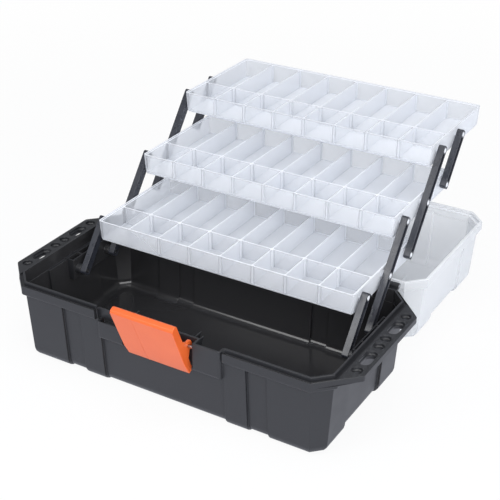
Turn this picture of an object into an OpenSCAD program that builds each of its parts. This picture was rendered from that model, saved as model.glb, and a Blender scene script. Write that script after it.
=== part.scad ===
// Cantilever tool box: a moulded tub and lid, three divided trays on parallel arms, a front latch
// and a folding carry handle. It is drawn open: trays out, lid swung back by half a turn.
// Origin: centre of the tub's underside. +X to the right, +Y to the back, +Z up. Millimetres.

/* [Shell] */
// Length of the rim over the side walls
rim_len = 406; // [380:1:440]
// Depth of the rim, front to back
rim_depth = 206; // [196:1:230]
// Height of the tub, floor to rim
base_h = 97.6; // [85:0.1:120]
// Height of the lid above its own rim
lid_h = 85; // [80:0.5:110]
// Thickness of the tub's and lid's walls
wall = 2.6; // [2:0.1:3.2]
// Cut across each corner of the rim
corner_cut = 20; // [14:0.5:26]
// Cut across each corner of the floor
floor_cut = 13; // [10:0.5:22]
// How far the side walls lean in from rim to floor
side_lean = 6.5; // [4:0.5:14]
// How far the front and rear walls lean in from rim to floor
front_lean = 5; // [4:0.5:14]
// Radius of the edge between walls and floor
edge_r = 12; // [6:0.5:14]
// Height of the stiffening band below the rim
band_h = 12.6; // [8:0.2:18]
// How far the band stands proud of the wall
band_proud = 4; // [2.8:0.1:6]
// Rounding of the band's lower edge
band_r = 3; // [1:0.5:4]

/* [Wall panels] */
// Depth of the sunk panels in the walls
panel_depth = 3; // [1.5:0.1:3.5]
// Half width of the middle panel, front and rear
mid_panel_x = 79; // [74:0.5:88]
// Half distance to the near edge of the narrow panel
side_panel_x0 = 106; // [100:0.5:112]
// Half distance to the far edge of the narrow panel
side_panel_x1 = 131; // [122:0.5:140]
// Half width of the panel in each end wall
end_panel_y = 41; // [25:0.5:45]

/* [Rim] */
// Height of the locating lip on the rim
lip_h = 3.5; // [2:0.1:5]
// Thickness of the lip
lip_t = 2.4; // [1.6:0.1:3]
// Depth of the seat that runs round outside the lip
seat_d = 2; // [0.5:0.1:3]
// Thickness of the edge outside the seat
seat_edge = 1; // [0.8:0.1:1.8]
// Gap between the lip and the lid's band
lip_gap = 0.8; // [0.4:0.1:1.2]
// Gap between the shut lid and the rim
lid_gap = 0.3; // [0.2:0.05:0.6]

/* [Side flanges] */
// Width of the flange outside the rim
flange_w = 19.5; // [18:0.1:24]
// Rounding of the flange's corners
flange_r = 5; // [3.5:0.5:8]
// Thickness of the flange
flange_t = 3; // [2:0.1:4]
// Height of the flange's turned-down edge
skirt_h = 7; // [5:0.2:10]
// Thickness of the turned-down edge
skirt_t = 2.4; // [1.6:0.1:3.2]
// Distance of the row of holes from the flange's edge
hole_inset = 10.8; // [9.5:0.1:11.5]
// Diameter of the round tool holes
hole_d = 11.6; // [8:0.1:13]
// Width of the slotted tool holes
slot_w = 12.5; // [8:0.1:13]
// Length of the slotted tool holes
slot_len = 27; // [20:0.5:28]
// Distance of the outer holes from the ends of the flange's straight edge
hole_end = 5.1; // [4:0.1:6.5]
// Distance of the inner holes from the middle
hole_y_in = 8.3; // [7:0.1:9.5]

/* [Trays] */
// Depth of a tray, front to back
tray_depth = 150.2; // [140:0.2:160]
// Height of a tray
tray_h = 26.2; // [22:0.2:30]
// Thickness of a tray's outer walls
tray_wall = 1.8; // [1.2:0.1:2.4]
// Thickness of a tray's floor
tray_floor = 1.6; // [1.2:0.1:2.4]
// Thickness of the dividers
divider_t = 1.4; // [1:0.1:2]
// Compartments along the tray
columns = 8; // [5:1:10]
// Depth of the front row of compartments
front_row = 44.6; // [35:0.2:60]
// How far a divider's top lies below the tray's edge
divider_drop = 1.2; // [0.6:0.1:4]
// How far a tray's walls lean in towards its floor
tray_lean = 1.2; // [0.4:0.1:2]
// Corner radius inside a compartment
cell_r = 3; // [1:0.5:5]
// Radius of the edge under the tray
tray_edge_r = 3.5; // [1.5:0.5:4]
// Corner radius of the tray, seen from above
tray_corner_r = 4; // [1:0.5:5]
// Height of the tray's floor above the rim when the trays are out
tray_clear = 5.6; // [5.4:0.1:12]

/* [Linkage] */
// Distance between the pivots of an arm
link = 63; // [56:0.5:70]
// Distance between neighbouring pivots of a tray
pivot_pitch = 54.9; // [50:0.1:60]
// Distance of a tray's first pivot from its front
pivot_front = 16.8; // [12:0.1:22]
// Distance of the pivots below the tray's edge
pivot_drop = 8.4; // [7:0.1:10]
// Distance of the tub's first pivot behind the rim's front
pivot_back = 100.4; // [98:0.1:104]
// Slope of the arms with the trays out, in degrees
open_angle = 51.5; // [48:0.1:58]
// Width of an arm across its length
arm_w = 10; // [8.5:0.1:12]
// Thickness of an arm
arm_t = 7.5; // [6:0.1:9]
// Thickness of an arm's walls
arm_wall = 1.6; // [1.2:0.1:2]
// Thickness of an arm's web
arm_web = 2.2; // [1.6:0.1:3]
// Rounding of an arm's ends
arm_r = 3; // [1.5:0.1:4]
// Diameter of the pivot pins on trays and tub
pivot_d = 6; // [5:0.1:6.4]
// Radial gap of a pivot pin in its arm
pivot_gap = 0.05; // [0.02:0.01:0.09]
// Gap between an arm and what it swings past
arm_gap = 0.3; // [0.2:0.05:0.5]
// Height of the boss around a tray's pin
tray_boss_h = 1.5; // [0.8:0.1:2.5]
// How far that boss reaches beyond the pin all round
tray_boss_rim = 1.5; // [0.8:0.1:2.5]

/* [Pivot brackets] */
// How far the bracket stands off the end wall's inner face
bracket_w = 8.4; // [6:0.1:10]
// Length of the bracket in front of the first pivot
bracket_front = 9.4; // [8.5:0.1:12]
// Length of the bracket behind the second pivot
bracket_rear = 11.7; // [8.5:0.1:14]
// Height of the bracket above the pivots
bracket_up = 14.4; // [9:0.1:16]
// Height of the bracket below the pivots
bracket_down = 11.6; // [9:0.1:16]
// Thickness of the bracket's ribs
bracket_rib = 2; // [1.4:0.1:2.6]
// Radius of the pivot boss on the bracket
boss_r = 6; // [4.6:0.1:7]
// Length of the pivot boss
boss_len = 6; // [3:0.1:7]

/* [Hinge] */
// Distance of the hinge line behind the rim
hinge_back = 8; // [7:0.1:10]
// Height of the hinge line above the rim
hinge_up = 1.6; // [1.2:0.1:1.8]
// Radius of the knuckles
knuckle_r = 3.3; // [2.9:0.1:3.5]
// Diameter of the hinge pins
hinge_pin_d = 3; // [2.4:0.1:3.2]
// Radial gap of a hinge pin in the lid
hinge_gap = 0.05; // [0.02:0.01:0.09]
// Distance of a hinge's far end inside the rim's end
hinge_in = 23; // [20:0.5:36]
// Length of each knuckle on the tub
tub_knuckle = 12; // [8:0.5:16]
// Length of the knuckle on the lid
lid_knuckle = 23; // [15:0.5:30]
// End gap between knuckles
knuckle_gap = 0.5; // [0.3:0.1:1]

/* [Latch] */
// Width of the latch
latch_w = 78.4; // [70:0.2:86]
// Height of the latch above its pivot
latch_up = 41.4; // [38:0.2:46]
// Length of the latch below its pivot
latch_down = 32; // [28:0.2:32.4]
// Distance from the pivot to the latch's front face
latch_front = 15.1; // [13:0.1:17]
// Thickness of the latch, front to back
latch_deep = 9.5; // [8:0.1:10.5]
// Thickness of the latch's front plate
latch_t = 3; // [2:0.1:4]
// Distance from the latch's top to the underside of its hook
hook_down = 13.5; // [12:0.1:16]
// Thickness of the hook
hook_t = 2.5; // [1.5:0.1:3.5]
// How far the hook reaches over the lid's catch
hook_reach = 2; // [1:0.1:3]
// Gap between the hook and the catch
hook_gap = 0.5; // [0.2:0.1:1]
// Thickness of the catch
catch_t = 3; // [2:0.1:4]
// Height of the rib below the catch
catch_rib = 6; // [3:0.5:10]
// Gap at each end of the catch
catch_gap = 1; // [0.5:0.1:2]
// Slope cut off the latch's top edges
latch_edge = 2.2; // [1:0.1:2.6]
// Height of the bent lower part of the plate
latch_skirt = 15.2; // [10:0.2:18]
// How far the lower part bends back
latch_bend = 2.1; // [0:0.1:3]
// Slope cut off the lower rear corners of the latch's sides
latch_heel = 3; // [2:0.5:5]
// Radius of the latch's ears
ear_r = 6.6; // [5:0.1:6.8]
// Lean of the open latch from upright, in degrees
latch_open = 22; // [15:0.5:23]
// Diameter of the latch pin
latch_pin_d = 3; // [2.5:0.1:4]
// Radial gap of the latch pin in the latch
latch_pin_gap = 0.05; // [0.02:0.01:0.09]
// Depth of the latch pivot below the rim
latch_pivot_down = 6.6; // [6:0.1:10]
// Distance of the latch pivot behind the rim's front
latch_pivot_back = 3; // [2:0.1:4]

/* [Latch surround] */
// Half width of the pocket that the latch swings in
pocket_x = 45; // [44:0.5:48]
// Outer face of the bulges beside the pocket, from the middle
bulge_x = 79; // [74:0.5:82]
// Height of the bulges
bulge_h = 34.6; // [30:0.2:40]
// Radius of the edge under the bulges
bulge_r = 4; // [2:0.5:6]
// Depth of the pocket behind the rim's front
pocket_back = 10.6; // [10.2:0.1:12]
// Half length of the gap in the band and lip
lip_break_x = 81; // [80:0.5:92]
// Width of the padlock slot
padlock_w = 5; // [3:0.1:6]
// Length of the padlock slot
padlock_len = 10; // [7:0.5:20]
// Distance of the padlock slot from the bulge's outer side
padlock_in = 3.4; // [3.2:0.1:10]
// Depth of the padlock shelf below the rim
shelf_down = 12.2; // [8:0.2:16]
// Length of the longer gussets behind the pocket
gusset_len = 13; // [8:0.5:13.5]
// Length of the shorter gussets
gusset_short = 7; // [4:0.5:10]
// Thickness of the gussets
gusset_t = 1.5; // [1:0.1:2]
// Distance of the longer gussets from the pocket's sides
gusset_in = 6; // [4:0.5:12]
// Depth of the gussets' tops below the rim
gusset_down = 1; // [0.5:0.1:3]

/* [Handle] */
// Length of the handle's recess in the lid
recess_len = 260; // [180:1:280]
// Width of the handle's recess
recess_w = 52; // [46:0.5:60]
// Depth of the handle's recess
recess_depth = 15; // [12:0.1:16]
// Corner radius of the handle's recess
recess_r = 5; // [3:0.5:5]
// Thickness of the handle
handle_t = 11; // [8:0.1:12]
// Width of the handle's grip
grip_w = 17; // [14:0.5:20]
// Rounding of the grip's edges
grip_r = 3.6; // [2:0.1:3.9]
// Width of the handle's side arms
handle_arm_w = 12; // [9:0.5:15]
// Gap between the handle and its recess
handle_gap = 2; // [1.5:0.1:3]
// Diameter of the handle's pivot pins
handle_pin_d = 4; // [3:0.1:5]
// Length of a handle pin inside the handle
handle_pin_in = 8; // [5:0.5:11]

/* [Hidden] */
$fn = 48;
sliver = 0.01;          // thickness of the plates that a hull is stretched over
over = 1;               // how far a cut runs past the face it opens
arc_steps = 4;          // flats that make up the rounded edges of moulded shapes
far = 150;              // reach of a cut that starts outside the part
corner_k = 2 - sqrt(2); // what a 45 degree cut loses per millimetre of inset
black = [0.13, 0.13, 0.14];
clear_pp = [0.86, 0.9, 0.94, 0.45];
orange = [0.98, 0.42, 0.14];
steel = [0.72, 0.73, 0.75];

// Rim and lip, measured inwards from the rim's outline
half_depth = rim_depth / 2;
inner_inset = band_proud + wall;
lip_inset = inner_inset - lip_t;
lid_band_wall = lip_inset - lip_gap;
hinge_y = half_depth + hinge_back;
hinge_z = base_h + hinge_up;
hinge_x = rim_len / 2 - hinge_in;
lid_rim_z = base_h + lid_gap;
lid_top_z = lid_rim_z + lid_h;

// Linkage: pivot A is the tub's first, B its second. Trays are counted from the lowest.
tray_z = base_h + tray_clear;
pivot_y = pivot_back - half_depth;
pivot_z = tray_z + tray_h - pivot_drop - link * sin(open_angle);
link_y = link * cos(open_angle);
link_z = link * sin(open_angle);
step_y = link_y + pivot_pitch;

// Across the box, from the end wall inwards: bracket, arm, tray
end_wall_x = wall_x(pivot_z, base_h) - panel_depth - wall;
bracket_x = end_wall_x - bracket_w;
arm_x1 = bracket_x - arm_gap - boss_len;
arm_x0 = arm_x1 - arm_t;
tray_x = arm_x0 - arm_gap - tray_boss_h;

latch_y = latch_pivot_back - half_depth;
latch_z = base_h - latch_pivot_down;
pocket_y = half_depth - pocket_back;
bulge_z = base_h - bulge_h;
shelf_z = base_h - shelf_down;
shelf_y = wall_y(shelf_z, base_h) - panel_depth;
catch_z = latch_z + latch_up - hook_down - hook_gap;

// Tool holes in the flanges: round ones at both ends of the straight part, slots halfway between
hole_x = rim_len / 2 + flange_w - hole_inset;
hole_y_out = half_depth - corner_cut - flange_w - hole_end;
slot_y = (hole_y_in + hole_y_out) / 2;

handle_z = lid_top_z - recess_depth / 2;
handle_y = recess_w / 2 - handle_gap - handle_t / 2;

// Half length and half depth of a shell's outside, z above its floor, for a shell of height h
function wall_x(z, h) = rim_len / 2 - band_proud - side_lean * (1 - z / h);
function wall_y(z, h) = half_depth - band_proud - front_lean * (1 - z / h);
function cut_at(z, h) = floor_cut + (corner_cut - corner_k * band_proud - floor_cut) * z / h;
// Place of pivot i (0 front, 1 middle, 2 rear) of tray n (1 lowest)
function tray_front(n) = pivot_y + link_y - pivot_front + (n - 1) * step_y;
function pivot_at(n, i) = [tray_front(n) + pivot_front + i * pivot_pitch,
    pivot_z + n * link_z];
// Points of a rectangle from a to b with rounded corners
function round_rect(a, b, r) = [for (q = [0:3]) for (i = [0:arc_steps])
    let (w = 90 * q + 90 * i / arc_steps,
        cx = (q == 0 || q == 3) ? b[0] - r : a[0] + r,
        cy = q < 2 ? b[1] - r : a[1] + r)
    [cx + r * cos(w), cy + r * sin(w)]];

module octagon(x, y, cut) {
    polygon([[x - cut, -y], [x, cut - y], [x, y - cut], [x - cut, y],
        [cut - x, y], [-x, y - cut], [-x, cut - y], [cut - x, -y]]);
}

// The rim's outline, moved inwards
module rim_outline(inset) {
    octagon(rim_len / 2 - inset, half_depth - inset, corner_cut - corner_k * inset);
}

// Draws a YZ outline and gives it a thickness along +X from x
module along_x(x, thick) {
    translate([x, 0, 0]) rotate([90, 0, 90]) linear_extrude(thick) children();
}

module both_sides() {
    children();
    mirror([1, 0, 0]) children();
}

// The edge between walls and floor from below: [distance inside the outer wall, height]
function edge_points(inset) = let (r = edge_r - inset) [for (i = [0:arc_steps])
    [inset + r * (1 - sin(90 * i / arc_steps)), inset + r * (1 - cos(90 * i / arc_steps))]];

// A leaning shell's solid body with its floor at z = 0, moved inwards by inset, up to z = top
module body_block(h, inset, top) {
    hull() {
        for (e = edge_points(inset)) translate([0, 0, e[1]]) linear_extrude(sliver)
            octagon(wall_x(e[1], h) - e[0], wall_y(e[1], h) - e[0], cut_at(e[1], h) - corner_k * e[0]);
        translate([0, 0, top - sliver]) linear_extrude(sliver)
            octagon(wall_x(top, h) - inset, wall_y(top, h) - inset, cut_at(top, h) - corner_k * inset);
    }
}

// Everything outside a sunk panel of the front wall, moved inwards by inset, from x0 to x1
module front_slab(h, x0, x1, z1, inset) {
    low = panel_depth + edge_r - wall_y(inset, h);
    along_x(x0, x1 - x0) polygon(concat([[-far, -over], [low, -over]],
        [for (e = edge_points(inset)) [panel_depth + e[0] - wall_y(e[1], h), e[1]]],
        [[panel_depth + inset - wall_y(z1, h), z1], [-far, z1]]));
}

// The same for the right end wall, from -y to y
module end_slab(h, y, z1, inset) {
    low = wall_x(inset, h) - panel_depth - edge_r;
    translate([0, y, 0]) rotate([90, 0, 0]) linear_extrude(2 * y)
        polygon(concat([[far * 2, -over], [low, -over]],
            [for (e = edge_points(inset)) [wall_x(e[1], h) - panel_depth - e[0], e[1]]],
            [[wall_x(z1, h) - panel_depth - inset, z1], [far * 2, z1]]));
}

// All sunk panels of a shell, moved inwards and widened by inset. Those in the long walls run up to
// the band, those in the ends end a wall's thickness below it, the front's middle one at front_top.
module panels(h, inset, front_top) {
    top = h - band_h + inset;
    front_slab(h, -mid_panel_x - inset, mid_panel_x + inset, front_top, inset);
    mirror([0, 1, 0]) front_slab(h, -mid_panel_x - inset, mid_panel_x + inset, top, inset);
    for (m = [0, 1], s = [0, 1]) mirror([m, 0, 0]) mirror([0, s, 0])
        front_slab(h, side_panel_x0 - inset, side_panel_x1 + inset, top, inset);
    both_sides() end_slab(h, end_panel_y + inset, h - band_h - (wall - inset), inset);
}

// Outside and inside of a shell, floor down, with its panels pressed through the wall
module shell_outside(h) {
    difference() {
        body_block(h, 0, h);
        panels(h, 0, h + over);
    }
}

module shell_inside(h) {
    difference() {
        union() {
            body_block(h, wall, h + over);
            // upright above a ledge behind the band's lower edge
            translate([0, 0, h - band_h]) linear_extrude(band_h + over) rim_outline(inner_inset);
        }
        panels(h, wall, h + over * 2);
    }
}

// The front wall set back from z0 up, behind the latch
module pocket(x, y, z0, z1) {
    translate([-x, -far, z0]) cube([2 * x, far - y, z1 - z0]);
}

// A bulge beside the latch, from the wall out to the rim's front, rounded below and outside
module bulge(x0, x1, z0, z1, inset) intersection() {
    front = inset - half_depth;
    back = wall / 2 + inset - pocket_y;
    linear_extrude(z1) polygon(round_rect([x0 - far, front], [x1 - inset, back + far], bulge_r - inset));
    along_x(x0 + inset, x1 - x0 - 2 * inset) polygon(concat([[back, z1], [front, z1]],
        [for (i = [0:arc_steps]) let (w = 90 * i / arc_steps)
            [front + bulge_r * (1 - cos(w)), z0 + inset + bulge_r * (1 - sin(w))]],
        [[back, z0 + inset]]));
}

module latch_gap() {
    translate([-lip_break_x, -far, -over])
        cube([2 * lip_break_x, far - half_depth + inner_inset + lip_gap, lid_top_z * 2]);
}

// The band round a shell of height h, rounded below
module rim_band(h) {
    difference() {
        translate([0, 0, h - band_h]) hull() {
            for (i = [0:arc_steps]) translate([0, 0, band_r * (1 - cos(90 * i / arc_steps))])
                linear_extrude(sliver) rim_outline(band_r * (1 - sin(90 * i / arc_steps)));
            translate([0, 0, band_h - sliver]) linear_extrude(sliver) rim_outline(0);
        }
        latch_gap();
    }
}

// The shallow seat between the lip and the rim's edge
module seat() {
    translate([0, 0, base_h - seat_d]) linear_extrude(seat_d + over) difference() {
        rim_outline(seat_edge);
        rim_outline(lip_inset);
        translate([0, -half_depth]) square(2 * [lip_break_x + seat_edge, inner_inset], center = true);
    }
}

// Locating lip on the rim
module lip() {
    translate([0, 0, base_h - over]) difference() {
        linear_extrude(lip_h + over) difference() {
            rim_outline(lip_inset);
            rim_outline(inner_inset);
        }
        latch_gap();
    }
}

// Outline of the rim with both flanges, whose ends carry on the corner cuts
module flange_outline(inset) {
    offset(r = flange_r - inset) offset(delta = -flange_r)
        octagon(rim_len / 2 + flange_w, half_depth, corner_cut + flange_w);
}

module flanges() {
    translate([0, 0, base_h - flange_t]) linear_extrude(flange_t) difference() {
        flange_outline(0);
        rim_outline(wall);
        between_flanges();
        tool_holes();
    }
    translate([0, 0, base_h - skirt_h]) linear_extrude(skirt_h) difference() {
        flange_outline(0);
        flange_outline(skirt_t);
        between_flanges();
    }
}

// The part of the rim that carries no flange
module between_flanges() {
    square([rim_len - 2 * corner_cut, far * 2], center = true);
}

module tool_holes() {
    for (sx = [-1, 1], sy = [-1, 1]) translate([sx * hole_x, 0]) {
        for (y = [hole_y_in, hole_y_out]) translate([0, sy * y]) circle(d = hole_d);
        translate([0, sy * slot_y]) rotate(90) slot(slot_len, slot_w);
    }
}

// A slot along X, over all len long
module slot(len, width) {
    for (e = [-1, 1]) translate([e * (len - width) / 2, 0]) circle(d = width);
    square([len - width, width], center = true);
}

// Open-topped cells against the end wall, with a boss and a pin for each arm
module pivot_bracket() {
    y0 = pivot_y - bracket_front;
    y1 = pivot_y + pivot_pitch + bracket_rear;
    z0 = pivot_z - bracket_down;
    z1 = pivot_z + bracket_up;
    cells = [y0, pivot_y + bracket_front, pivot_y + pivot_pitch - bracket_front, y1 - bracket_rib];
    out_x = wall_x(base_h, base_h) - wall;
    difference() {
        intersection() {
            translate([bracket_x, y0, z0]) cube([out_x - bracket_x + over, y1 - y0, z1 - z0]);
            body_block(base_h, wall / 2, base_h);
        }
        end_slab(base_h, end_panel_y, base_h - band_h - wall, wall / 2);
        for (i = [0:2]) translate([bracket_x + bracket_rib, cells[i] + bracket_rib, z0 + bracket_rib])
            cube([end_wall_x - bracket_x - bracket_rib + over / 2,
                cells[i + 1] - cells[i] - bracket_rib, z1 - z0]);
    }
    for (i = [0, 1]) translate([arm_x1 + arm_gap, pivot_y + i * pivot_pitch, pivot_z]) rotate([0, 90, 0])
        cylinder(r = boss_r, h = boss_len + bracket_rib);
    for (i = [0, 1]) pivot_pin(arm_x0, bracket_x + bracket_rib, [pivot_y + i * pivot_pitch, pivot_z]);
}

// A moulded pin along X through an arm
module pivot_pin(x0, x1, yz) {
    translate([x0, yz[0], yz[1]]) rotate([0, 90, 0]) cylinder(d = pivot_d, h = x1 - x0);
}

// Small triangular ribs behind the latch pocket
module gussets() {
    y = wall / 2 - pocket_y;
    z = base_h - gusset_down;
    for (g = [[pocket_x - gusset_in, gusset_len], [pocket_x + (wall - gusset_t) / 2, gusset_short]])
        both_sides() along_x(g[0], gusset_t) polygon([[y, z], [y + wall / 2 + g[1], z], [y, z - 2 * g[1]]]);
}

// A knuckle with the arm that carries it, for a shell whose rim lies at rim_z
module knuckle(x0, len, below) {
    s = below ? -1 : 1;
    translate([x0, hinge_y, hinge_z]) rotate([0, 90, 0]) cylinder(r = knuckle_r, h = len);
    along_x(x0, len) polygon([[hinge_y, hinge_z + s * knuckle_r],
        [half_depth - lid_band_wall, hinge_z + s * (knuckle_r + hinge_back)],
        [half_depth - lid_band_wall, below ? base_h : lid_rim_z],
        [hinge_y - knuckle_r, below ? base_h : lid_rim_z],
        [hinge_y, hinge_z]]);
}

function tub_knuckles() = [hinge_x - tub_knuckle,
    hinge_x - 2 * tub_knuckle - lid_knuckle - 2 * knuckle_gap];
function lid_knuckle_x() = hinge_x - tub_knuckle - knuckle_gap - lid_knuckle;
function hinge_len() = 2 * tub_knuckle + lid_knuckle + 2 * knuckle_gap;

module hinge_bores(d) {
    both_sides() translate([hinge_x - hinge_len() - over, hinge_y, hinge_z]) rotate([0, 90, 0])
        cylinder(d = d, h = hinge_len() + 2 * over);
}

module base_tub() color(black) difference() {
    union() {
        difference() {
            union() {
                difference() {
                    union() {
                        shell_outside(base_h);
                        rim_band(base_h);
                    }
                    pocket(pocket_x, pocket_y, bulge_z - wall, base_h + over);
                }
                both_sides() bulge(pocket_x, bulge_x, bulge_z, base_h, 0);
                flanges();
                both_sides() for (x = tub_knuckles()) knuckle(x, tub_knuckle, true);
            }
            seat();
            difference() {
                shell_inside(base_h);
                pocket(pocket_x + wall, pocket_y - wall, bulge_z - 2 * wall, base_h + 2 * over);
            }
            bulge(pocket_x, bulge_x, bulge_z, base_h + over, wall);
            mirror([1, 0, 0]) bulge(pocket_x, bulge_x, bulge_z, shelf_z, wall);
            mirror([1, 0, 0]) translate([pocket_x - over, -far, shelf_z])
                cube([bulge_x - pocket_x + 2 * over, far - wall_y(shelf_z, base_h) + panel_depth, far]);
        }
        lip();
        gussets();
        both_sides() pivot_bracket();
    }
    hinge_bores(hinge_pin_d);
    translate([-pocket_x - wall, latch_y, latch_z]) rotate([0, 90, 0])
        cylinder(d = latch_pin_d, h = 2 * (pocket_x + wall));
    padlock_hole();
}

// A slot through the shelf beside the latch
module padlock_hole() {
    translate([padlock_in + padlock_len / 2 - bulge_x, -(half_depth + shelf_y) / 2, shelf_z - wall - over])
        linear_extrude(wall + 2 * over) slot(padlock_len, padlock_w);
}

// The lid as it lies when shut
module lid_shut() {
    recess = [recess_len / 2, recess_w / 2];
    difference() {
        union() {
            difference() {
                union() {
                    from_lid_top() shell_outside(lid_h);
                    from_lid_top() rim_band(lid_h);
                    from_lid_top() both_sides() bulge(pocket_x, bulge_x, lid_h - bulge_h, lid_h, 0);
                }
                lid_hollow();
                from_lid_top() both_sides() bulge(pocket_x, bulge_x, lid_h - bulge_h, lid_h + over, wall);
            }
            both_sides() knuckle(lid_knuckle_x(), lid_knuckle, false);
            catch();
        }
        translate([0, 0, lid_top_z - recess_depth]) linear_extrude(recess_depth + over)
            polygon(round_rect(-recess, recess, recess_r));
        hinge_bores(hinge_pin_d + 2 * hinge_gap);
        both_sides() translate([recess_len / 2 - over, handle_y, handle_z]) rotate([0, 90, 0])
            cylinder(d = handle_pin_d, h = wall * 2 + over);
    }
}

// Turns a shell that is drawn floor down over, so that its floor is the shut lid's top
module from_lid_top() {
    translate([0, 0, lid_top_z]) mirror([0, 0, 1]) children();
}

module lid_hollow() {
    recess = [recess_len / 2 + wall, recess_w / 2 + wall];
    difference() {
        from_lid_top() shell_inside(lid_h);
        translate([0, 0, lid_top_z - recess_depth - wall]) linear_extrude(recess_depth + wall + over)
            polygon(round_rect(-recess, recess, recess_r + wall));
    }
    translate([0, 0, lid_rim_z - over]) linear_extrude(lip_h + lip_gap + over) difference() {
        rim_outline(lid_band_wall);
        translate([0, -half_depth]) square([2 * lip_break_x, 2 * inner_inset], center = true);
    }
}

// The ridge on the lid that the latch hooks over
module catch() {
    wall_in = wall / 2 + panel_depth - wall_y(lid_top_z - catch_z, lid_h);
    tip = latch_y + latch_deep - latch_front - hook_reach;
    reach = latch_w / 2 - latch_t - catch_gap;
    along_x(-reach, 2 * reach) polygon([[wall_in, catch_z - catch_t - catch_rib],
        [tip, catch_z - catch_t], [tip, catch_z], [wall_in, catch_z]]);
}

// Swings what is drawn in the shut lid back by half a turn about the hinge
module in_open_lid() translate([0, 2 * hinge_y, 2 * hinge_z]) rotate([180, 0, 0]) children();

module lid_shell() color(clear_pp) in_open_lid() lid_shut();

// A tray, drawn with its front at y = 0 and its floor at z = 0
module tray_body() {
    pitch = (2 * tray_x - 2 * tray_wall + divider_t) / columns;
    rows = [[tray_wall, tray_wall + front_row],
        [tray_wall + front_row + divider_t, tray_depth - tray_wall]];
    difference() {
        hull() {
            for (i = [0:arc_steps]) {
                in = tray_edge_r * (1 - sin(90 * i / arc_steps));
                z = tray_edge_r * (1 - cos(90 * i / arc_steps));
                translate([0, 0, z]) linear_extrude(sliver)
                    tray_outline(in + tray_lean * (1 - z / tray_h), tray_corner_r);
            }
            translate([0, 0, tray_h - sliver]) linear_extrude(sliver) tray_outline(0, tray_corner_r);
        }
        for (c = [0:columns - 1], row = rows) {
            x0 = -tray_x + tray_wall + c * pitch;
            a = [x0 + (c == 0 ? tray_lean : 0), row[0] + (row == rows[0] ? tray_lean : 0)];
            b = [x0 + pitch - divider_t - (c == columns - 1 ? tray_lean : 0),
                row[1] - (row == rows[1] ? tray_lean : 0)];
            translate([0, 0, tray_floor]) linear_extrude(tray_h) polygon(round_rect(a, b, cell_r));
        }
        translate([0, 0, tray_h - divider_drop]) linear_extrude(tray_h) tray_outline(tray_wall, cell_r);
    }
}

// A tray's outline, moved inwards
module tray_outline(inset, r) {
    polygon(round_rect([inset - tray_x, inset], [tray_x - inset, tray_depth - inset], r));
}

module tray(n) color(clear_pp) {
    translate([0, tray_front(n), tray_z + (n - 1) * link_z]) tray_body();
    both_sides() for (i = [0:2]) {
        yz = pivot_at(n, i);
        // the third pivot of the top tray carries no arm
        if (n < 3 || i < 2) {
            translate([tray_x - tray_wall, yz[0], yz[1]]) rotate([0, 90, 0])
                cylinder(d = pivot_d + 2 * tray_boss_rim, h = tray_wall + tray_boss_h);
            pivot_pin(tray_x - tray_wall, arm_x1, yz);
        }
    }
}

// A channel arm with pivots at 0, link and so on, drawn along +X with its web at z = 0
module arm_body(pivots) {
    len = link * (pivots - 1);
    half = arm_w / 2;
    difference() {
        linear_extrude(arm_t) polygon(round_rect([-half, -half], [len + half, half], arm_r));
        difference() {
            translate([0, 0, arm_web]) linear_extrude(arm_t)
                polygon(round_rect([arm_wall - half, arm_wall - half],
                    [len + half - arm_wall, half - arm_wall], arm_r - arm_wall / 2));
            for (i = [0:pivots - 1]) translate([i * link, 0, 0])
                cylinder(r = pivot_d / 2 + arm_wall, h = arm_t);
        }
        for (i = [0:pivots - 1]) translate([i * link, 0, -over])
            cylinder(r = pivot_d / 2 + pivot_gap, h = arm_t + 2 * over);
    }
}

// The right-hand arm that starts at pivot yz
module arm_right(yz, pivots) color(black)
    translate([arm_x0, yz[0], yz[1]]) rotate([90, 0, 90]) rotate([0, 0, open_angle]) arm_body(pivots);

module arm_left(yz, pivots) mirror([1, 0, 0]) arm_right(yz, pivots);

tub_a = [pivot_y, pivot_z];
tub_b = [pivot_y + pivot_pitch, pivot_z];

// The latch's side outline about its pivot, shut, with a round ear on its back
module latch_side() {
    back = latch_deep - latch_front;
    polygon(concat([[back, latch_up - latch_edge], [back - latch_edge, latch_up],
        [latch_edge - latch_front, latch_up], [-latch_front, latch_up - latch_edge],
        [-latch_front, latch_skirt - latch_down],
        [latch_bend - latch_front, -latch_down], [back - latch_heel, -latch_down],
        [back, 2 * latch_heel - latch_down], [back, -2 * ear_r]],
        [for (w = [-90:15:90]) ear_r * [cos(w), sin(w)]], [[back, 2 * ear_r]]));
}

module latch() color(orange) translate([0, latch_y, latch_z]) rotate([latch_open, 0, 0]) difference() {
    inner = latch_w / 2 - latch_t;
    plate = latch_t - latch_front;
    along_x(-latch_w / 2, latch_w) latch_side();
    // hollow behind the plate, below and above the hook
    along_x(-inner, 2 * inner) polygon([[plate, latch_up - hook_down], [plate, latch_skirt - latch_down],
        [plate + latch_bend, -latch_down - over], [far, -latch_down - over], [far, latch_up - hook_down]]);
    along_x(-inner, 2 * inner) translate([plate, latch_up - hook_down + hook_t])
        square([far, hook_down - hook_t - latch_t]);
    translate([-latch_w, 0, 0]) rotate([0, 90, 0])
        cylinder(r = latch_pin_d / 2 + latch_pin_gap, h = 2 * latch_w);
}

module latch_pin() color(steel) translate([-pocket_x - wall, latch_y, latch_z]) rotate([0, 90, 0])
    cylinder(d = latch_pin_d, h = 2 * (pocket_x + wall));

module hinge_pin() color(steel) translate([hinge_x - hinge_len(), hinge_y, hinge_z]) rotate([0, 90, 0])
    cylinder(d = hinge_pin_d, h = hinge_len());

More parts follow.
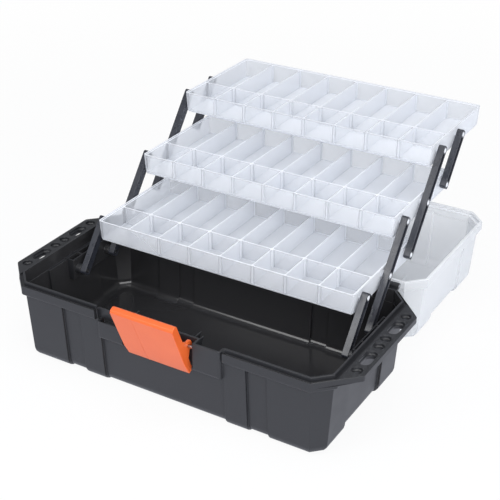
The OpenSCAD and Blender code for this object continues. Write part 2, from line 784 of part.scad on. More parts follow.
// The handle as it lies folded in the shut lid
module handle_shut() {
    x1 = recess_len / 2 - handle_gap;
    y0 = -recess_w / 2 + handle_gap;
    low = [y0, handle_z - handle_t / 2];
    high = [handle_y + handle_t / 2, handle_z + handle_t / 2];
    difference() {
        intersection() {
            union() {
                along_x(-x1, 2 * x1) polygon(round_rect(low, [y0 + grip_w, high[1]], grip_r));
                both_sides() along_x(x1 - handle_arm_w, handle_arm_w)
                    polygon(round_rect(low, high, handle_t / 2 - sliver));
            }
            translate([0, 0, low[1] - over]) linear_extrude(handle_t + 2 * over)
                polygon(round_rect([-x1, y0], [x1, high[0]], recess_r - handle_gap));
        }
        both_sides() translate([x1 - handle_pin_in, handle_y, handle_z]) rotate([0, 90, 0])
            cylinder(d = handle_pin_d + 2 * pivot_gap, h = far);
    }
}

module carry_handle() color(black) in_open_lid() handle_shut();

module handle_pin() color(steel) in_open_lid()
    translate([recess_len / 2 - handle_gap - handle_pin_in, handle_y, handle_z]) rotate([0, 90, 0])
        cylinder(d = handle_pin_d, h = handle_pin_in + handle_gap + wall);

base_tub();
lid_shell();
latch();
latch_pin();
tray(1);  // lower_tray
tray(2);  // middle_tray
tray(3);  // upper_tray
arm_right(tub_a, 2);  // lower_short_arm_right
arm_left(tub_a, 2);  // lower_short_arm_left
arm_right(tub_b, 3);  // lower_long_arm_right
arm_left(tub_b, 3);  // lower_long_arm_left
arm_right(pivot_at(1, 2), 3);  // upper_long_arm_right
arm_left(pivot_at(1, 2), 3);  // upper_long_arm_left
arm_right(pivot_at(2, 2), 2);  // upper_short_arm_right
arm_left(pivot_at(2, 2), 2);  // upper_short_arm_left
hinge_pin();  // hinge_pin_right
mirror([1, 0, 0]) hinge_pin();  // hinge_pin_left
carry_handle();
handle_pin();  // handle_pin_right
mirror([1, 0, 0]) handle_pin();  // handle_pin_left
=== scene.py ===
"""The looks of a cantilever tool box: moulded tub and lid, three trays on arms, latch and handle.

Metres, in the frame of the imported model: +X to the right, +Y to the back, +Z up.
"""
from math import cos, pi, radians, sin

import bmesh
import bpy
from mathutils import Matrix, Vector


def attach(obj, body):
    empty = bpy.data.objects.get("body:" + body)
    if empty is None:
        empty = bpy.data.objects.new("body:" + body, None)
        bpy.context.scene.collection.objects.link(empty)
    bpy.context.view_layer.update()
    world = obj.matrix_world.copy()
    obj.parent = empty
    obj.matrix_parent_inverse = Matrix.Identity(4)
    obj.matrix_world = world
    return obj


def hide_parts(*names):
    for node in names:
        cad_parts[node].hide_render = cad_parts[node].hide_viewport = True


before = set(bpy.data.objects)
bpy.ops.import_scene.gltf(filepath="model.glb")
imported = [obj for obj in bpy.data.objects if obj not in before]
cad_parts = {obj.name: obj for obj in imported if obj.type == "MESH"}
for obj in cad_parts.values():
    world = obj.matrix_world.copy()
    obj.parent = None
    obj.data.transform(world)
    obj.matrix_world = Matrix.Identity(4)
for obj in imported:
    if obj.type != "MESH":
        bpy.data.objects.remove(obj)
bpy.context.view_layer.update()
mm = 0.001

# ---------------------------------------------------------------------------------------------
# Camera
# A short telephoto lens on a full-frame body. It stands at the right in front of the box, above
# it, and is aimed at the lowest tray.
# ---------------------------------------------------------------------------------------------
camera_place = Vector((607.4, -922.8, 748.1)) * mm
camera_target = Vector((1.5, 85.6, 106.7)) * mm
camera = bpy.data.objects.new("camera", bpy.data.cameras.new("camera"))
camera.data.lens = 83.02
camera.data.sensor_width = 36
camera.location = camera_place
camera.rotation_euler = (camera_target - camera_place).to_track_quat("-Z", "Y").to_euler()
bpy.context.scene.collection.objects.link(camera)
bpy.context.scene.camera = camera
bpy.context.scene.view_settings.view_transform = "Standard"


# ---------------------------------------------------------------------------------------------
# Studio
# A white floor that reads as plain white but keeps a light shadow near the box, four square soft
# lamps (the strongest at the right in front, the next straight above) and weak light all round.
# ---------------------------------------------------------------------------------------------
def linear(colour):
    """An sRGB hex colour as linear red, green, blue and alpha"""
    channels = [int(colour[i:i + 2], 16) / 255 for i in (1, 3, 5)]
    return (*(c / 12.92 if c <= 0.04045 else ((c + 0.055) / 1.055) ** 2.4 for c in channels), 1.0)


def add(tree, kind, inputs=None, **settings):
    """Adds a node. A node or socket given for an input is linked to it, and so is each one of a
    list; a node stands for its first output in use. Anything else is set on the input."""
    made = tree.nodes.new(kind)
    for name, value in settings.items():
        setattr(made, name, value)
    for name, value in (inputs or {}).items():
        for source in value if isinstance(value, list) else [value]:
            if isinstance(source, bpy.types.Node):
                source = next(socket for socket in source.outputs if socket.enabled)
            if isinstance(source, bpy.types.NodeSocket):
                tree.links.new(source, made.inputs[name])
            else:
                made.inputs[name].default_value = source
    return made


def empty_material(name):
    """A named material without nodes, and its tree"""
    material = bpy.data.materials.new(name)
    material.use_nodes = True
    material.node_tree.nodes.clear()
    return material, material.node_tree


def seen_directly(tree, path):
    """1 where the camera looks at a surface with no half-clear skin in between, else 0"""
    return add(tree, "ShaderNodeMath", {0: path.outputs["Is Camera Ray"],
                                        1: path.outputs["Transparent Depth"]},
               operation="SUBTRACT", use_clamp=True)


floor_reach = 15.0              # half the floor's length
floor_colour = "#e6e8ec"
shown_colour = "#ffffff"        # what the camera sees of floor and world
reflected_colour = "#f0f3ff"    # a cool white, as reflections on the box show the floor
near_white = 0.92               # share of plain white in what is seen of the floor near the box
shadow_reach = (0.5, 1.6)       # the distances between which the floor turns to plain white alone
around_colour = "#f4f6fa"
around_strength = 0.4

floor_mesh = bpy.data.meshes.new("floor")
floor_mesh.from_pydata([(x * floor_reach, y * floor_reach, 0)
                        for x, y in ((-1, -1), (1, -1), (1, 1), (-1, 1))], [], [(0, 1, 2, 3)])
floor = bpy.data.objects.new("floor", floor_mesh)
bpy.context.scene.collection.objects.link(floor)

# Matt white paper sweep: no gloss and no grain, and its shadow fades out away from the box.
white_paper, tree = empty_material("matt_white_sweep")
path = add(tree, "ShaderNodeLightPath")
direct = seen_directly(tree, path)
reflected = add(tree, "ShaderNodeMath", {0: direct, 1: path.outputs["Is Glossy Ray"]})
seen = add(tree, "ShaderNodeMath", {0: reflected, 1: path.outputs["Is Transmission Ray"]},
           use_clamp=True)
place = add(tree, "ShaderNodeTexCoord").outputs["Object"]
away = add(tree, "ShaderNodeVectorMath", {0: place}, operation="LENGTH")
whiteness = add(tree, "ShaderNodeMapRange", {
    "Value": away, "From Min": shadow_reach[0], "From Max": shadow_reach[1],
    "To Min": near_white, "To Max": 1.0})
share = add(tree, "ShaderNodeMath", {0: seen, 1: whiteness}, operation="MULTIPLY")
shade = add(tree, "ShaderNodeMix", {"Factor": direct, "A": linear(reflected_colour),
                                    "B": linear(shown_colour)}, data_type="RGBA")
matt = add(tree, "ShaderNodeBsdfDiffuse", {"Color": linear(floor_colour)})
plain = add(tree, "ShaderNodeEmission", {"Color": shade, "Strength": 1.0})
mixed = add(tree, "ShaderNodeMixShader", {0: share, 1: matt, 2: plain})
add(tree, "ShaderNodeOutputMaterial", {"Surface": mixed})
floor_mesh.materials.append(white_paper)

world = bpy.data.worlds.new("studio")
world.use_nodes = True
tree = world.node_tree
tree.nodes.clear()
direct = seen_directly(tree, add(tree, "ShaderNodeLightPath"))
around = add(tree, "ShaderNodeBackground", {"Color": linear(around_colour),
                                            "Strength": around_strength})
shown = add(tree, "ShaderNodeBackground", {"Color": linear(shown_colour), "Strength": 1.0})
mixed = add(tree, "ShaderNodeMixShader", {0: direct, 1: around, 2: shown})
add(tree, "ShaderNodeOutputWorld", {"Surface": mixed})
bpy.context.scene.world = world

lamp_aim = Vector((0, 60, 90)) * mm
for name, direction, distance, size, power in (
        ("lamp_main", (0.60, -0.65, 0.40), 1.9, 1.3, 25),
        ("lamp_top", (0.10, -0.10, 1.00), 1.9, 1.3, 16),
        ("lamp_left", (-0.30, -0.69, 0.65), 1.7, 0.7, 8),
        ("lamp_side", (0.90, -0.30, 0.30), 1.9, 0.9, 5)):
    lamp = bpy.data.objects.new(name, bpy.data.lights.new(name, "AREA"))
    lamp.data.size = size
    lamp.data.energy = power
    lamp.location = lamp_aim + Vector(direction).normalized() * distance
    lamp.rotation_euler = (lamp_aim - lamp.location).to_track_quat("-Z", "Y").to_euler()
    bpy.context.scene.collection.objects.link(lamp)


# ---------------------------------------------------------------------------------------------
# Tub
# The box itself: one injection moulding in black polypropylene, with the rim's lip, the side
# flanges with their tool holes, the latch pocket, the hinge knuckles and the pivot brackets.
# ---------------------------------------------------------------------------------------------
merge_distance = 0.002 * mm
flat_angle = radians(0.5)       # facets closer than this in direction are one face
edge_angle = radians(32)        # edges sharper than this are rounded


def moulded_copy(node, name, edge, share_of=None):
    """A copy of a CAD node with its facets joined up and its sharp edges rounded to a width. What
    share_of(centre in mm, normal) gives for each face is kept as the attribute "share"."""
    shape = bmesh.new()
    shape.from_mesh(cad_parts[node].data)
    bmesh.ops.remove_doubles(shape, verts=shape.verts, dist=merge_distance)
    bmesh.ops.join_triangles(shape, faces=shape.faces, angle_face_threshold=flat_angle,
                             angle_shape_threshold=pi)
    mesh = bpy.data.meshes.new(name)
    shape.to_mesh(mesh)
    shape.free()
    mesh.shade_smooth()
    if share_of:
        shares = mesh.attributes.new("share", "FLOAT", "FACE")
        shares.data.foreach_set("value", [share_of(f.center / mm, f.normal) for f in mesh.polygons])
    piece = bpy.data.objects.new(name, mesh)
    bpy.context.scene.collection.objects.link(piece)
    rounding = piece.modifiers.new("rounded_edges", "BEVEL")
    rounding.width = edge
    rounding.segments = 2
    rounding.limit_method = "ANGLE"
    rounding.angle_limit = edge_angle
    rounding.use_clamp_overlap = False
    rounding.face_strength_mode = "FSTR_ALL"
    flats = piece.modifiers.new("flat_faces", "WEIGHTED_NORMAL")
    flats.use_face_influence = True
    return piece


def dress(piece, material, body, slot, *replaced):
    """Gives a finished piece its material and body, and hides the nodes it stands for. The slot is
    not used.
    """
    piece.data.materials.clear()
    piece.data.materials.append(material)
    if replaced:
        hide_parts(*replaced)
    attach(piece, body)


# Polypropylene, moulded against a spark-eroded tool: an even, fine, satin grain outside. Inside,
# where the tool's core is polished, there is none, and the plastic gives dim reflections. The
# inside
# is also painted a lighter grey: painted light, for the light that the milky trays let into the
# tub.
# The real grain is about 0.2 mm and wouldn't show, so it is drawn at 0.9 mm. Slow flow marks change
# the gloss.
polypropylene_ior = 1.49
grain_size = 0.9 * mm
flow_size = 45 * mm
black_pp, tree = empty_material("black_polypropylene_spark_grain")
place = add(tree, "ShaderNodeTexCoord").outputs["Object"]
inside = add(tree, "ShaderNodeAttribute", attribute_name="share").outputs["Fac"]
grain = add(tree, "ShaderNodeTexNoise", {"Vector": place, "Scale": 1 / grain_size, "Detail": 2.0,
                                         "Roughness": 0.6})
flow = add(tree, "ShaderNodeTexNoise", {"Vector": place, "Scale": 1 / flow_size, "Detail": 3.0})
tint = add(tree, "ShaderNodeMix", {"Factor": flow, "A": linear("#232427"),
                                   "B": linear("#292a2e")}, data_type="RGBA")
# Painted light: the faces inside the tub get a lighter grey than outside, standing in for the light
# that the milky trays pass down into the tub.
colour = add(tree, "ShaderNodeMix", {"Factor": inside, "A": tint, "B": linear("#2f2f31")},
             data_type="RGBA")
satin = add(tree, "ShaderNodeMapRange", {"Value": flow, "From Min": 0.3, "From Max": 0.7,
                                         "To Min": 0.36, "To Max": 0.46})
gloss = add(tree, "ShaderNodeMapRange", {"Value": inside, "To Min": satin, "To Max": 0.16})
height = add(tree, "ShaderNodeMapRange", {"Value": inside, "To Min": 0.12, "To Max": 0.01})
relief = add(tree, "ShaderNodeBump", {"Height": grain, "Strength": height, "Distance": 0.1 * mm})
shader = add(tree, "ShaderNodeBsdfPrincipled", {"Base Color": colour, "Roughness": gloss,
                                                "IOR": polypropylene_ior, "Normal": relief})
add(tree, "ShaderNodeOutputMaterial", {"Surface": shader})

# The tub's inside, in millimetres, with the slopes that tell its faces from the others
inner_half_length = 197
inner_half_depth = 97
floor_under = 2
floor_fillet_top = 12
rim_seat = 97
floor_slope = 0.3               # a normal's height, above which a low face belongs to the floor
least_inwards = 1               # how far a wall's normal points inwards, times its distance


def in_tub(centre, normal):
    """1 for the faces inside the tub, which look inwards or lie on its floor, else 0"""
    if not (abs(centre.x) < inner_half_length and abs(centre.y) < inner_half_depth
            and floor_under < centre.z < rim_seat):
        return 0
    looks_inwards = centre.x * normal.x + centre.y * normal.y < -least_inwards
    return int(looks_inwards or centre.z < floor_fillet_top and normal.z > floor_slope)


tub = moulded_copy("base_tub", "tub_moulding", edge=0.5 * mm, share_of=in_tub)
dress(tub, black_pp, "tub", "black_plastic", "base_tub")


def tree_with_inputs(name, sizes):
    """A Geometry Nodes tree with a named input for each size, and the sockets that give them"""
    tree = bpy.data.node_groups.new(name, "GeometryNodeTree")
    kinds = {int: "NodeSocketInt", float: "NodeSocketFloat", tuple: "NodeSocketVector"}
    for size, value in sizes.items():
        tree.interface.new_socket(size, in_out="INPUT", socket_type=kinds[type(value)])
    tree.interface.new_socket("Geometry", in_out="OUTPUT", socket_type="NodeSocketGeometry")
    return tree, add(tree, "NodeGroupInput").outputs


def end_tree(tree, parts, place, material):
    """Joins what a tree has made, moves it to its place and gives it its material"""
    joined = add(tree, "GeometryNodeJoinGeometry", {0: parts})
    moved = add(tree, "GeometryNodeTransform", {"Geometry": joined, "Translation": place})
    real = add(tree, "GeometryNodeRealizeInstances", {0: moved})
    painted = add(tree, "GeometryNodeSetMaterial", {"Geometry": real, "Material": material})
    add(tree, "NodeGroupOutput", {0: painted})


def grown(name, tree, sizes):
    """The plain mesh that a Geometry Nodes tree makes of its sizes, as an object"""
    piece = bpy.data.objects.new(name, bpy.data.meshes.new(name + "_start"))
    bpy.context.scene.collection.objects.link(piece)
    growth = piece.modifiers.new("growth", "NODES")
    growth.node_group = tree
    for socket in tree.interface.items_tree:
        if socket.in_out == "INPUT":
            growth[socket.identifier] = sizes[socket.name]
    evaluated = piece.evaluated_get(bpy.context.evaluated_depsgraph_get())
    mesh = bpy.data.meshes.new_from_object(evaluated)
    piece.modifiers.remove(growth)
    piece.data = mesh
    mesh.name = name
    return piece


# Collars under the flanges, one round each tool hole, so that a screwdriver stands upright
collar_wall = 1.2 * mm
hole_width = 11.6 * mm
slot_width = 12.5 * mm
slot_length = 27 * mm
collar_sizes = {
    "Wall": collar_wall, "Depth": 6.5 * mm, "Round radius": (hole_width + collar_wall) / 2,
    "Slot width": slot_width + collar_wall, "Slot length": slot_length + collar_wall,
    "Slot rounding": slot_width / 2, "Across": 423.4 * mm, "Inner holes apart": 16.6 * mm,
    "Outer holes apart": 116.8 * mm, "Slots apart": 66.7 * mm, "Place": (0.0, 0.0, 91.5 * mm)}
tree, size = tree_with_inputs("hole_collars", collar_sizes)
circle = add(tree, "GeometryNodeCurvePrimitiveCircle", {"Resolution": 32,
                                                        "Radius": size["Round radius"]})
oblong = add(tree, "GeometryNodeCurvePrimitiveQuadrilateral", {"Width": size["Slot width"],
                                                               "Height": size["Slot length"]})
oblong = add(tree, "GeometryNodeFilletCurve", {"Curve": oblong, "Count": 12,
                                               "Radius": size["Slot rounding"]}, mode="POLY")
section = add(tree, "GeometryNodeCurvePrimitiveQuadrilateral", {"Width": size["Wall"],
                                                                "Height": size["Depth"]})
collars = []
for apart, outline in (("Inner holes apart", circle), ("Outer holes apart", circle),
                       ("Slots apart", oblong)):
    upright = add(tree, "GeometryNodeSetCurveNormal", {"Curve": outline}, mode="Z_UP")
    collar = add(tree, "GeometryNodeCurveToMesh", {"Curve": upright, "Profile Curve": section})
    corners = add(tree, "GeometryNodeMeshGrid", {"Size X": size["Across"], "Size Y": size[apart],
                                                 "Vertices X": 2, "Vertices Y": 2})
    collars.append(add(tree, "GeometryNodeInstanceOnPoints", {"Points": corners,
                                                              "Instance": collar}))
end_tree(tree, collars, size["Place"], black_pp)
dress(grown("tool_hole_collars", tree, collar_sizes), black_pp, "tub", "black_plastic")


# ---------------------------------------------------------------------------------------------
# Lid
# The tub's fellow, moulded in uncoloured polypropylene, milky and half clear. It lies open on its
# back behind the tub, on two pinned hinges.
# ---------------------------------------------------------------------------------------------
def cloudy(tree, straight, along):
    """How much light a skin stops: least where the eye meets it straight, most where it looks along
    it. Where the attribute "share" marks thick plastic, the skin stops at least that share."""
    facing = add(tree, "ShaderNodeLayerWeight", {"Blend": 0.5}).outputs["Facing"]
    thin = add(tree, "ShaderNodeMapRange", {"Value": facing, "From Min": 0.3, "From Max": 0.95,
                                            "To Min": straight, "To Max": along})
    thick = add(tree, "ShaderNodeAttribute", attribute_name="share").outputs["Fac"]
    return add(tree, "ShaderNodeMath", {0: thin, 1: thick}, operation="MAXIMUM")


# Natural polypropylene, moulded: white with a cold cast, lets light through but blurs what lies
# behind it, slightly cloudy where the melt flowed.
cloud_size = 60 * mm
lid_ripple = 7 * mm
lid_pp, tree = empty_material("natural_polypropylene_lid")
place = add(tree, "ShaderNodeTexCoord").outputs["Object"]
cloud = add(tree, "ShaderNodeTexNoise", {"Vector": place, "Scale": 1 / cloud_size, "Detail": 3.0})
tint = add(tree, "ShaderNodeMix", {"Factor": cloud, "A": linear("#eceff3"),
                                   "B": linear("#f2f4f7")}, data_type="RGBA")
ripple = add(tree, "ShaderNodeTexNoise", {"Vector": place, "Scale": 1 / lid_ripple, "Detail": 1.0})
relief = add(tree, "ShaderNodeBump", {"Height": ripple, "Strength": 0.08, "Distance": 0.2 * mm})
shader = add(tree, "ShaderNodeBsdfPrincipled", {
    "Base Color": tint, "Roughness": 0.38, "IOR": polypropylene_ior, "Normal": relief,
    "Alpha": cloudy(tree, 0.32, 0.8)})
add(tree, "ShaderNodeOutputMaterial", {"Surface": shader})

faces_up = 0.7                  # a normal's height, above which a face looks up
lid_rim_share = 0.8             # the share of light that the narrow tops of the rim stop
lid_rim_height = 92             # millimetres, just below the lowest of those tops


def on_lid_rim(centre, normal):
    """The share of light that a face of the lid stops at least"""
    return lid_rim_share if normal.z > faces_up and centre.z > lid_rim_height else 0


lid = moulded_copy("lid_shell", "lid_moulding", edge=0.45 * mm, share_of=on_lid_rim)
dress(lid, lid_pp, "lid", "lid_plastic", "lid_shell")

# ---------------------------------------------------------------------------------------------
# Trays
# Three thin-walled mouldings in the same natural polypropylene as the lid, divided into two rows
# of eight compartments, with the pins that the arms turn on moulded to their ends.
# ---------------------------------------------------------------------------------------------
# Natural polypropylene, moulded thin: bluish white, glossier than the lid, the pale colour of
# each wall adding to that of the wall behind it.
tray_ripple = 9 * mm
tray_pp, tree = empty_material("natural_polypropylene_tray")
place = add(tree, "ShaderNodeTexCoord").outputs["Object"]
cloud = add(tree, "ShaderNodeTexNoise", {"Vector": place, "Scale": 1 / cloud_size, "Detail": 3.0})
tint = add(tree, "ShaderNodeMix", {"Factor": cloud, "A": linear("#ebeff7"),
                                   "B": linear("#f1f4f9")}, data_type="RGBA")
ripple = add(tree, "ShaderNodeTexNoise", {"Vector": place, "Scale": 1 / tray_ripple,
                                          "Detail": 1.0})
relief = add(tree, "ShaderNodeBump", {"Height": ripple, "Strength": 0.06, "Distance": 0.2 * mm})
shader = add(tree, "ShaderNodeBsdfPrincipled", {
    "Base Color": tint, "Roughness": 0.3, "IOR": polypropylene_ior, "Normal": relief,
    "Alpha": cloudy(tree, 0.25, 0.92)})
add(tree, "ShaderNodeOutputMaterial", {"Surface": shader})

# Where dividers meet the walls and the floor, the plastic is thick and reads as a white line.
# The lines are bars inside those places, measured from the middle of the tray's underside:
# star-shaped columns up the walls, square bars in the floor, a round one along the lower edge.
tray_depth = 150.2 * mm
divider = 1.3 * mm
divider_pitch = 41.644 * mm
dividers_apart = 6 * divider_pitch      # the outermost of the seven
walls_apart = 144.2 * mm
rows_y = -28 * mm                       # the divider between the front row and the rear one
foot_height = 1.4 * mm
thick_sizes = {
    "Dividers": 7, "To next": (divider_pitch, 0.0, 0.0), "Dividers apart": dividers_apart,
    "Walls apart": walls_apart, "Waist": 0.6 * divider,
    "Wall corner": 1.8 * mm, "Wall foot": (0.0, 0.0, 3.2 * mm), "Wall column": 21.4 * mm,
    "Middle corner": 2.6 * mm, "Middle foot": (0.0, 0.0, 0.5 * mm), "Middle column": 24.1 * mm,
    "First middle": (-dividers_apart / 2, rows_y, 0.0),
    "First bar": (-dividers_apart / 2, 0.0, 1.0 * mm), "Bar": (divider, walls_apart, foot_height),
    "Long bar place": (0.0, rows_y, 1.0 * mm), "Long bar": (330 * mm, divider, foot_height),
    "Edge length": 330.35 * mm, "Edge depth": 145.2 * mm, "Edge rounding": 2.5 * mm,
    "Edge radius": 0.7 * mm, "Edge place": (0.0, 0.0, 1.5 * mm), "Place": (0.0, 0.0, 0.0)}
tree, size = tree_with_inputs("thick_places", thick_sizes)

wall_places = add(tree, "GeometryNodeMeshGrid", {
    "Size X": size["Dividers apart"], "Size Y": size["Walls apart"],
    "Vertices X": size["Dividers"], "Vertices Y": 2})
middle_places = add(tree, "GeometryNodeMeshLine", {
    "Count": size["Dividers"], "Start Location": size["First middle"], "Offset": size["To next"]})
bars = []
for line, places in (("Wall", wall_places), ("Middle", middle_places)):
    star = add(tree, "GeometryNodeCurveStar", {"Points": 4, "Outer Radius": size[line + " corner"],
                                               "Inner Radius": size["Waist"]})
    upright = add(tree, "GeometryNodeCurvePrimitiveLine", {
        "Start": size[line + " foot"], "Direction": (0.0, 0.0, 1.0),
        "Length": size[line + " column"]}, mode="DIRECTION")
    column = add(tree, "GeometryNodeCurveToMesh", {"Curve": upright, "Profile Curve": star,
                                                   "Fill Caps": True})
    bars.append(add(tree, "GeometryNodeInstanceOnPoints", {"Points": places, "Instance": column}))

bar_places = add(tree, "GeometryNodeMeshLine", {
    "Count": size["Dividers"], "Start Location": size["First bar"], "Offset": size["To next"]})
bar = add(tree, "GeometryNodeMeshCube", {"Size": size["Bar"]})
bars.append(add(tree, "GeometryNodeInstanceOnPoints", {"Points": bar_places, "Instance": bar}))
long_bar = add(tree, "GeometryNodeMeshCube", {"Size": size["Long bar"]})
bars.append(add(tree, "GeometryNodeTransform", {"Geometry": long_bar,
                                                "Translation": size["Long bar place"]}))

edge = add(tree, "GeometryNodeCurvePrimitiveQuadrilateral", {"Width": size["Edge length"],
                                                             "Height": size["Edge depth"]})
edge = add(tree, "GeometryNodeFilletCurve", {"Curve": edge, "Count": 4,
                                             "Radius": size["Edge rounding"]}, mode="POLY")
section = add(tree, "GeometryNodeCurvePrimitiveCircle", {"Resolution": 8,
                                                         "Radius": size["Edge radius"]})
ring = add(tree, "GeometryNodeCurveToMesh", {"Curve": edge, "Profile Curve": section})
bars.append(add(tree, "GeometryNodeTransform", {"Geometry": ring,
                                                "Translation": size["Edge place"]}))
end_tree(tree, bars, size["Place"], tray_pp)
thick_places = tree

# Low domed heads at the ends of the pins, flush with the arms' outer faces
pin_pitch = 54.9 * mm
first_pin = 16.8 * mm           # behind the tray's front
pin_height = 17.8 * mm          # above its underside
head_radius = 2.9 * mm
head_rise = 0.7 * mm
head_sizes = {"Heads": 3, "Reach": 2 * pin_pitch, "Across": 353.8 * mm, "Radius": head_radius,
              "Flattening": (head_rise / head_radius, 1.0, 1.0), "Place": (0.0, 0.0, 0.0)}
tree, size = tree_with_inputs("pin_heads", head_sizes)
ball = add(tree, "GeometryNodeMeshUVSphere", {"Segments": 20, "Rings": 10,
                                              "Radius": size["Radius"]})
dome = add(tree, "GeometryNodeTransform", {"Geometry": ball, "Scale": size["Flattening"]})
places = add(tree, "GeometryNodeMeshGrid", {"Size X": size["Across"], "Size Y": size["Reach"],
                                            "Vertices X": 2, "Vertices Y": size["Heads"]})
heads = add(tree, "GeometryNodeInstanceOnPoints", {"Points": places, "Instance": dome})
end_tree(tree, [heads], size["Place"], tray_pp)
pin_heads = tree

thick_share = 0.9               # the share of light that the thick places and the rim's top stop
rim_depth = 2                   # millimetres below the tray's top that still count as its rim

for level, body, count in (("lower", "tray_1", 3), ("middle", "tray_2", 3),
                           ("upper", "tray_3", 2)):
    corners = [v.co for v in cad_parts[f"{level}_tray"].data.vertices]
    front = min(v.y for v in corners)
    underside = min(v.z for v in corners)
    rim_bottom = max(v.z for v in corners) / mm - rim_depth
    tray = moulded_copy(
        f"{level}_tray", f"{level}_tray_moulding", edge=0.3 * mm,
        share_of=lambda centre, normal: thick_share * (normal.z > faces_up
                                                       and centre.z > rim_bottom))
    dress(tray, tray_pp, body, "clear_plastic", f"{level}_tray")
    reach = (count - 1) * pin_pitch
    thick_sizes["Place"] = (0.0, front + tray_depth / 2, underside)
    head_sizes["Heads"] = count
    head_sizes["Reach"] = reach
    head_sizes["Place"] = (0.0, front + first_pin + reach / 2, underside + pin_height)
    for part, part_tree, sizes in (("thick_places", thick_places, thick_sizes),
                                   ("pin_heads", pin_heads, head_sizes)):
        piece = grown(f"{level}_tray_{part}", part_tree, sizes)
        shares = piece.data.attributes.new("share", "FLOAT", "FACE")
        shares.data.foreach_set("value", [thick_share] * len(piece.data.polygons))
        dress(piece, tray_pp, body, "clear_plastic")

# ---------------------------------------------------------------------------------------------
# Arms
# Eight channel-shaped links, two lengths, with a ring round each pivot hole. Moulded in black
# glass-filled nylon, and pushed over the pins.
# ---------------------------------------------------------------------------------------------
# Nylon, moulded against a polished tool: darker and much glossier than the tub, with the long
# faint waves of a thin part that has shrunk.
wave_size = 12 * mm
black_nylon, tree = empty_material("black_nylon_polished")
place = add(tree, "ShaderNodeTexCoord").outputs["Object"]
wave = add(tree, "ShaderNodeTexNoise", {"Vector": place, "Scale": 1 / wave_size, "Detail": 2.0})
tint = add(tree, "ShaderNodeMix", {"Factor": wave, "A": linear("#272930"),
                                   "B": linear("#31343d")}, data_type="RGBA")
gloss = add(tree, "ShaderNodeMapRange", {"Value": wave, "From Min": 0.3, "From Max": 0.7,
                                         "To Min": 0.24, "To Max": 0.34})
relief = add(tree, "ShaderNodeBump", {"Height": wave, "Strength": 0.2, "Distance": 0.3 * mm})
shader = add(tree, "ShaderNodeBsdfPrincipled", {"Base Color": tint, "Roughness": gloss,
                                                "IOR": 1.53, "Normal": relief})
add(tree, "ShaderNodeOutputMaterial", {"Surface": shader})

# The round marks that the mould's ejectors leave along each arm's upper face
arm_slope = radians(51.5)
arm_half_width = 5 * mm
along_arm = Vector((0, cos(arm_slope), sin(arm_slope)))
off_arm = Vector((0, -sin(arm_slope), cos(arm_slope)))
mark_spacing = 14.8 * mm
arm_x = 173.2 * mm
mark_sizes = {"Marks": 3, "To next": tuple(along_arm * mark_spacing), "Radius": 1.0 * mm,
              "Thickness": 0.3 * mm, "Tilt": (arm_slope, 0.0, 0.0), "Left": (-arm_x, 0.0, 0.0),
              "To right": (2 * arm_x, 0.0, 0.0), "Place": (0.0, 0.0, 0.0)}
tree, size = tree_with_inputs("ejector_marks", mark_sizes)
disc = add(tree, "GeometryNodeMeshCylinder", {"Vertices": 16, "Radius": size["Radius"],
                                              "Depth": size["Thickness"]})
tilted = add(tree, "GeometryNodeTransform", {"Geometry": disc, "Rotation": size["Tilt"]})
line = add(tree, "GeometryNodeMeshLine", {"Count": size["Marks"], "Offset": size["To next"]})
sides = add(tree, "GeometryNodeMeshLine", {"Count": 2, "Start Location": size["Left"],
                                           "Offset": size["To right"]})
marks = add(tree, "GeometryNodeInstanceOnPoints", {"Points": line, "Instance": tilted})
marks = add(tree, "GeometryNodeInstanceOnPoints", {"Points": sides, "Instance": marks})
end_tree(tree, [marks], size["Place"], black_nylon)

for arm, count in (("lower_short_arm", 3), ("lower_long_arm", 7), ("upper_long_arm", 7),
                   ("upper_short_arm", 3)):
    for side in ("right", "left"):
        link = moulded_copy(f"{arm}_{side}", f"{arm}_{side}_moulding", edge=0.3 * mm)
        dress(link, black_nylon, f"{arm}s", "arm_plastic", f"{arm}_{side}")
    corners = [v.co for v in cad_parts[f"{arm}_right"].data.vertices]
    middle = Vector((0, min(v.y for v in corners) + max(v.y for v in corners),
                     min(v.z for v in corners) + max(v.z for v in corners))) / 2
    mark_sizes["Marks"] = count
    mark_sizes["Place"] = tuple(middle + off_arm * arm_half_width
                                - along_arm * mark_spacing * (count - 1) / 2)
    dress(grown(f"{arm}s_ejector_marks", tree, mark_sizes), black_nylon, f"{arm}s",
          "arm_plastic")

# ---------------------------------------------------------------------------------------------
# Latch
# A wide orange flap at the front with a hook inside, moulded in coloured polypropylene, which
# turns on a steel pin between the bulges beside its pocket.
# ---------------------------------------------------------------------------------------------
# Orange polypropylene, moulded against a polished tool: strong, even colour with a soft gloss.
orange_cloud = 25 * mm
orange_ripple = 5 * mm
orange_pp, tree = empty_material("orange_polypropylene")
place = add(tree, "ShaderNodeTexCoord").outputs["Object"]
cloud = add(tree, "ShaderNodeTexNoise", {"Vector": place, "Scale": 1 / orange_cloud,
                                         "Detail": 2.0})
tint = add(tree, "ShaderNodeMix", {"Factor": cloud, "A": linear("#dc5f2c"),
                                   "B": linear("#e36a33")}, data_type="RGBA")
ripple = add(tree, "ShaderNodeTexNoise", {"Vector": place, "Scale": 1 / orange_ripple,
                                          "Detail": 1.0})
relief = add(tree, "ShaderNodeBump", {"Height": ripple, "Strength": 0.06, "Distance": 0.2 * mm})
shader = add(tree, "ShaderNodeBsdfPrincipled", {"Base Color": tint, "Roughness": 0.34,
                                                "IOR": polypropylene_ior, "Normal": relief})
add(tree, "ShaderNodeOutputMaterial", {"Surface": shader})

flap = moulded_copy("latch", "latch_moulding", edge=0.9 * mm)
dress(flap, orange_pp, "latch_plate", "orange_plastic", "latch")

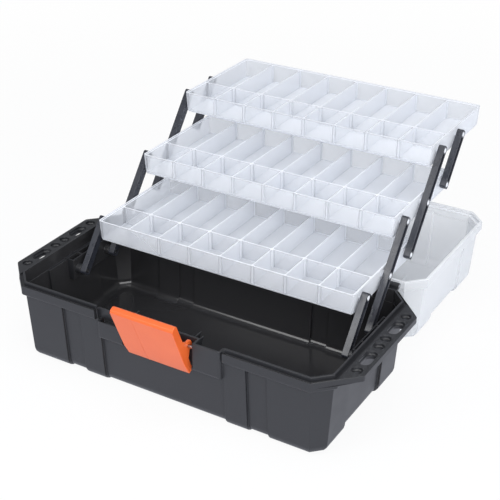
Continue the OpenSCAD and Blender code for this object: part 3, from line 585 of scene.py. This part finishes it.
# The mould's parting line: a thin slice of the latch, grown outwards by a hair
parting_x = -12.5 * mm
parting_width = 0.5 * mm
parting_rise = 0.12 * mm
flank = 0.5                     # a normal's reach along X, above which a face is a cut or a side
slab = bmesh.new()
slab.from_mesh(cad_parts["latch"].data)
bmesh.ops.remove_doubles(slab, verts=slab.verts, dist=merge_distance)
for x, towards in ((parting_x, -1), (parting_x + parting_width, 1)):
    cut = bmesh.ops.bisect_plane(slab, geom=slab.verts[:] + slab.edges[:] + slab.faces[:],
                                 dist=0.001 * mm, plane_co=(x, 0, 0), plane_no=(towards, 0, 0),
                                 clear_outer=True)
    rims = [part for part in cut["geom_cut"] if isinstance(part, bmesh.types.BMEdge)]
    bmesh.ops.holes_fill(slab, edges=rims, sides=0)
slab.normal_update()
outwards = [sum((face.normal for face in vert.link_faces if abs(face.normal.x) < flank),
                Vector()) for vert in slab.verts]
for vert, direction in zip(slab.verts, outwards):
    if direction.length > 0:
        vert.co += direction.normalized() * parting_rise
line_mesh = bpy.data.meshes.new("latch_parting_line")
slab.to_mesh(line_mesh)
slab.free()
parting_line = bpy.data.objects.new("latch_parting_line", line_mesh)
bpy.context.scene.collection.objects.link(parting_line)
dress(parting_line, orange_pp, "latch_plate", "orange_plastic")

# ---------------------------------------------------------------------------------------------
# Handle
# A folding bow in the lid's recess, moulded in the tub's black polypropylene. Its ends turn on
# two steel pins pressed into the lid.
# ---------------------------------------------------------------------------------------------
handle = moulded_copy("carry_handle", "handle_moulding", edge=0.3 * mm)
dress(handle, black_pp, "handle", "black_plastic", "carry_handle")

# ---------------------------------------------------------------------------------------------
# Pins
# Cut lengths of drawn steel wire in the hinges, the latch and the handle, each pressed into one
# piece and free in the other.
# ---------------------------------------------------------------------------------------------
# Drawn steel wire: bright metal with fine lines along its length.
line_length = 20 * mm
line_width = 0.4 * mm
steel_wire, tree = empty_material("drawn_steel_wire")
place = add(tree, "ShaderNodeTexCoord").outputs["Object"]
along = add(tree, "ShaderNodeMapping", {"Vector": place, "Scale": (
    1 / line_length, 1 / line_width, 1 / line_width)})
lines = add(tree, "ShaderNodeTexNoise", {"Vector": along, "Scale": 1.0})
gloss = add(tree, "ShaderNodeMapRange", {"Value": lines, "From Min": 0.3, "From Max": 0.7,
                                         "To Min": 0.22, "To Max": 0.38})
shader = add(tree, "ShaderNodeBsdfPrincipled", {"Base Color": linear("#b4b6ba"), "Metallic": 1.0,
                                                "Roughness": gloss})
add(tree, "ShaderNodeOutputMaterial", {"Surface": shader})

for node in ("latch_pin", "hinge_pin_right", "hinge_pin_left", "handle_pin_right",
             "handle_pin_left"):
    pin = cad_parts[node]
    pin.data.materials.clear()
    pin.data.materials.append(steel_wire)
